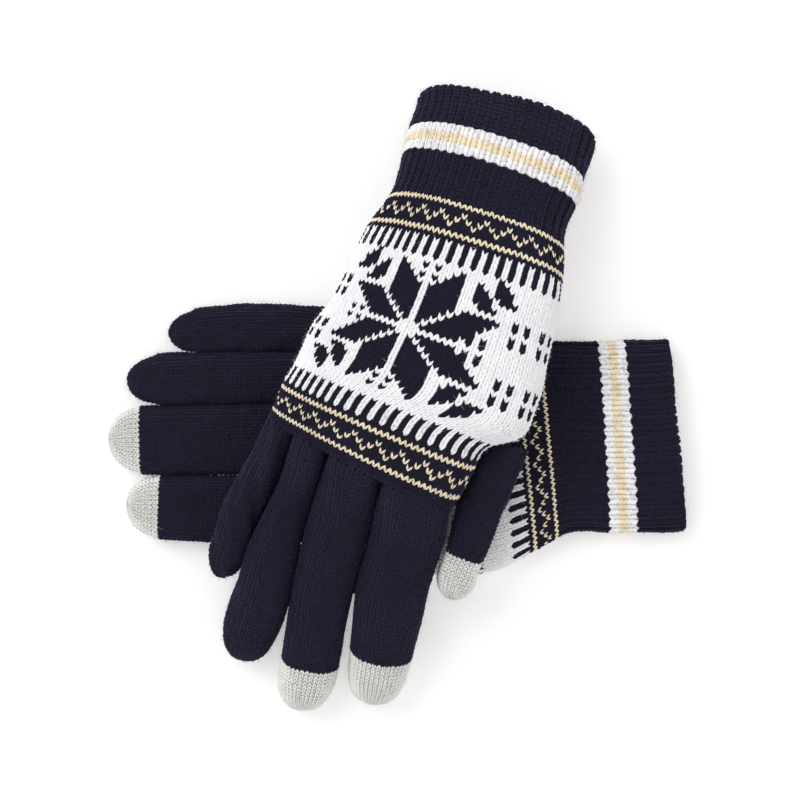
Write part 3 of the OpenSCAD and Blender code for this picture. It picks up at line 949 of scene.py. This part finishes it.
def rows_between(start, stop, about):
    """How many rows fit, and their exact height."""
    count = max(1, round((stop - start) / about))
    return count, (stop - start) / count


# %% [markdown]
# ## The cuffs
# A cuff is knitted in ribs so that it grips the wrist. Each rib is a wale of stitches on a round
# ridge. The rows start inside the opening, so the same panel makes the turned edge and the inside,
# and the stripe is two white rows, two cream and two white.

# %% Knit the cuffs
WALES = 40
RIB_ROW, RIB_SINK = 1.62, 0.7
RIDGE, RIB_FINE = 0.5, 6
CUFF_HAIRS, HAIRS_FROM = 2400, -4
CUFF_SEED, CUFF_HAIR_SEED = 30, 40


def cuff_yarns(glove, rows, inside_rows):
    """The yarn of each row of ribbing, from inside the opening to the hand."""
    edge, *stripe = glove["cuff_rows"]
    outside = [NAVY] * edge + [WHITE] * stripe[0] + [CREAM] * stripe[1] + [WHITE] * stripe[2]
    return np.array(([NAVY] * inside_rows + outside + [NAVY] * rows)[:rows])


for name in GLOVES:
    tube = tubes[name]["body"]
    inside_rows = int(tube["inside"] / RIB_ROW)
    start = -inside_rows * RIB_ROW
    rows, row_mm = rows_between(start, tube["cuff"], RIB_ROW)
    yarns = cuff_yarns(GLOVES[name], rows, inside_rows)
    for kind in (NAVY, WHITE, CREAM):
        wanted = np.repeat((yarns == kind)[:, None], WALES, axis=1)
        meshes = [
            knitted(tube, rib_stitch, wanted, start, row_mm, CUFF_SEED + kind, ridge=RIDGE,
                    sink=RIB_SINK),
            backing(tube, wanted, start, row_mm, ridge=RIDGE, fine=RIB_FINE),
        ]
        if kind == NAVY:
            meshes.append(hairs(tube, CUFF_HAIRS, HAIRS_FROM, tube["cuff"], CUFF_HAIR_SEED))
        piece = make_piece(f"{name}_cuff_{YARN_OF[kind]}", meshes, YARN_OF[kind], [f"{name}_cuff"])
        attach(piece, f"{name}_glove")

# %% [markdown]
# ## The hands
# The hand carries on from the cuff, and its stitches follow the chart. Navy fabric floats behind the
# single cream rows, so the navy backing lies under both. The hairs show most on the plain navy
# rows by the fingers and on the white field, and only there are they worth their faces.

# %% Knit the hands
HAND_HAIRS, PLAIN_REACH = 2600, 22
FIELD_FROM, FIELD_TO, FIELD_HAIR = 8, 45, 2.2
HAND_SEED, NAVY_HAIR_SEED, WHITE_HAIR_SEED = 50, 60, 61
backed = {NAVY: (chart == NAVY) | (chart == CREAM), WHITE: chart == WHITE}


def white_places(start, row_mm, turn):
    """A test of whether places on a hand are knitted in white."""
    def grows(places, distances):
        columns = np.floor(places * COLUMNS - turn).astype(int) % COLUMNS
        return chart[((distances - start) / row_mm).astype(int), columns] == WHITE

    return grows


for name in GLOVES:
    tube, glove = tubes[name]["body"], GLOVES[name]
    start = tube["cuff"]
    row_mm = (tube["length"] - start) / CHART_ROWS
    turn = glove["chart_turn"] - COLUMNS // 2 - 0.5

    for kind in (NAVY, WHITE, CREAM):
        stitch = fine_stitch if kind == CREAM else stockinette
        meshes = [knitted(tube, stitch, chart == kind, start, row_mm, HAND_SEED + kind, turn=turn)]
        if kind in backed:
            meshes.append(backing(tube, backed[kind], start, row_mm, turn=turn))
        if kind == NAVY:
            stop = tube["length"]
            meshes.append(hairs(tube, HAND_HAIRS // 2, stop - PLAIN_REACH, stop, NAVY_HAIR_SEED))
        if kind == WHITE:
            first, last = start + FIELD_FROM * row_mm, start + FIELD_TO * row_mm
            meshes.append(hairs(tube, HAND_HAIRS, first, last, WHITE_HAIR_SEED,
                                white_places(start, row_mm, turn), FIELD_HAIR))
        piece = make_piece(f"{name}_hand_{YARN_OF[kind]}", meshes, YARN_OF[kind], [f"{name}_hand"])
        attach(piece, f"{name}_glove")

# %% [markdown]
# ## Fingers and thumbs
# A finger bends at its middle knuckle. Its navy tube is knitted where it lies and isn't hung on a body,
# and its grey end moves with the finger. The left thumb is pinned under the other glove and stays with
# the hand.

# %% Knit the sheaths, and hang the grey ends and the left thumb on their bodies
NAVY_GAUGE = (2.6, 1.65)
GREY_GAUGE = (1.9, 1.35)
BEND_REACH, LOOK_AROUND = 0.009, 4
SHEATH_HAIRS = 14
SHEATH_SEED, END_SEED = 70, 80


def knit_stretch(tube, start, stop, seed, closed, gauge, stitch, depth):
    """Stitches, backing and hairs of a plain tube between two distances. gauge is a stitch's size."""
    columns = 2 * round(tube["girth"] / gauge[0] / 2)
    rows, row_mm = rows_between(start, stop, gauge[1])
    wanted = np.ones((rows, columns), bool)
    return [
        knitted(tube, stitch, wanted, start, row_mm, seed=seed),
        backing(tube, wanted, start, row_mm, closed=closed, depth=depth),
        hairs(tube, int((stop - start) * SHEATH_HAIRS), start, stop, seed=seed + 1),
    ]


def bend_at(piece, name, joint):
    """Looks up the joint and the finger's heading beside it, which nothing here uses, and bakes the
    piece's placement into its mesh.
    """
    place, axis = np.array(joints[joint]["pos_m"]), np.array(joints[joint]["axis"])
    finger = joint.split("_")[1]
    tube = tubes[name][finger]
    rows = tube["points"].mean(axis=1) * MM
    near = int(np.argmin(np.linalg.norm(rows - place, axis=1)))
    way = rows[near + LOOK_AROUND] - rows[near - LOOK_AROUND]
    way = way - axis * way.dot(axis)
    way /= np.linalg.norm(way)
    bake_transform(piece)


def make_sheath(name, finger, joint, nodes, tip_node):
    """The navy tube of a finger and, where it has one, its grey end."""
    tube = tubes[name][finger]
    body = f"{name}_thumb" if finger == "thumb" else f"{name}_{finger}_finger"
    stop = tube["grey"] if tip_node else tube["length"]
    meshes = knit_stretch(tube, 0, stop, SHEATH_SEED, not tip_node, NAVY_GAUGE, stockinette, BACK_DEPTH)
    piece = make_piece(f"{name}_{finger}_sheath", meshes, "navy", nodes)
    if joint:
        bend_at(piece, name, joint)
    else:
        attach(piece, f"{name}_glove")
    if tip_node:
        stretch = (stop, tube["length"])
        meshes = knit_stretch(tube, *stretch, END_SEED, True, GREY_GAUGE, open_stitch, OPEN_DEPTH)
        tip = make_piece(f"{name}_{finger}_end", meshes, "grey", [tip_node])
        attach(tip, body if joint else f"{name}_glove")


for name, motion in (("left", "curl"), ("right", "lift")):
    for finger in FINGER_NAMES:
        nodes = [f"{name}_{finger}_base", f"{name}_{finger}_end"]
        tip = f"{name}_{finger}_tip" if "grey" in tubes[name][finger] else None
        make_sheath(name, finger, f"{name}_{finger}_{motion}", nodes, tip)
right_thumb_nodes = ["right_thumb_base", "right_thumb_end"]
make_sheath("right", "thumb", "right_thumb_swing", right_thumb_nodes, "right_thumb_tip")
make_sheath("left", "thumb", None, ["left_thumb"], "left_thumb_tip")


# %% [markdown]
# ## The table
# A plain pale table top, a little uneven in tone so that it isn't a flat colour. It also glows a little:
# a painted glow of light, although it is no lamp, that lifts the whole top so that only the contact
# shadows are darker than white. It is a stage and not part of the object.

# %% Table top
TABLE_HALF, TABLE_CELLS = 2.5, 8
TABLE_ROUGHNESS, TABLE_SPECULAR = 0.7, 0.2
TABLE_TONES, TONE_SCALE = ((0.62, 0.61, 0.61, 1), (0.64, 0.63, 0.63, 1)), 3
# Painted glow: the table top emits light of its own, though it is no lamp, so that its shadows stay pale
GLOW_COLOUR, GLOW = (1, 0.99, 0.985, 1), 0.42


def make_table():
    """A square top at the height of the gloves' lowest point."""
    bm = bmesh.new()
    bmesh.ops.create_grid(bm, x_segments=TABLE_CELLS, y_segments=TABLE_CELLS, size=TABLE_HALF)
    bmesh.ops.translate(bm, verts=bm.verts, vec=(0, 0, cad_box[0].z))
    table = bpy.data.objects.new("table_top", finished(bm, "table_top"))
    material = bpy.data.materials.new("pale_table")
    material.use_nodes = True
    nodes, links = material.node_tree.nodes, material.node_tree.links
    shader = nodes["Principled BSDF"]
    shader.inputs["Roughness"].default_value = TABLE_ROUGHNESS
    shader.inputs["Specular IOR Level"].default_value = TABLE_SPECULAR
    # The emission is a painted glow that brightens the top beyond the light falling on it
    shader.inputs["Emission Color"].default_value = GLOW_COLOUR
    shader.inputs["Emission Strength"].default_value = GLOW
    noise, ramp = nodes.new("ShaderNodeTexNoise"), nodes.new("ShaderNodeValToRGB")
    noise.inputs["Scale"].default_value = TONE_SCALE
    for element, tone in zip(ramp.color_ramp.elements, TABLE_TONES):
        element.color = tone
    place = nodes.new("ShaderNodeTexCoord")
    links.new(place.outputs["Object"], noise.inputs["Vector"])
    links.new(noise.outputs["Fac"], ramp.inputs["Fac"])
    links.new(ramp.outputs["Color"], shader.inputs["Base Color"])
    table.data.materials.append(material)
    bpy.context.scene.collection.objects.link(table)
    return table


table_top = make_table()
print("table at", round(cad_box[0].z, 4), "m")
